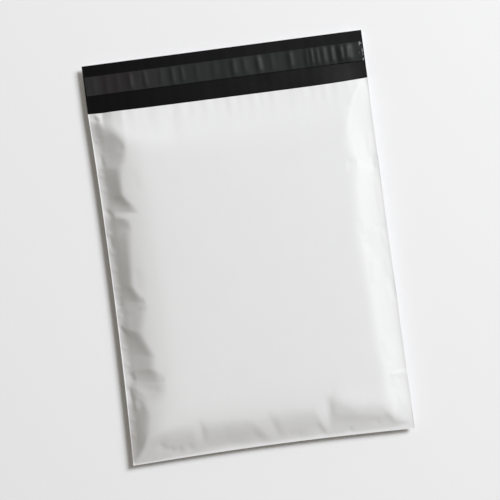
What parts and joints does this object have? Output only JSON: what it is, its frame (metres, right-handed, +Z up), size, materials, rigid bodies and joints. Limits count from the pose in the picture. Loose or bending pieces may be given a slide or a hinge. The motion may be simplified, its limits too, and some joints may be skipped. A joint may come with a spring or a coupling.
{
  "type": "poly mailer bag",
  "caption": "Puffed poly mailer bag lying on its back, in white film with a black-faced closing flap and a release liner over its adhesive strip.",
  "frame": {"origin": "on the table, under the middle of the bag's outline with the flap open", "axes": "+Y along the bag from the bottom fold to the flap, +X across it, +Z up from the table through the front film"},
  "size_m": [0.28, 0.398, 0.0192],
  "materials": {
    "white_film": "satin white film, with a black inner face that shows on the flap",
    "adhesive": "tacky hot-melt, hidden under the liner",
    "liner_film": "glossy thin film, dark over the black flap"
  },
  "bodies": {
    "root": {"mailer_bag": "white_film", "adhesive_strip": "adhesive", "release_liner": "liner_film"}
  },
  "joints": []
}
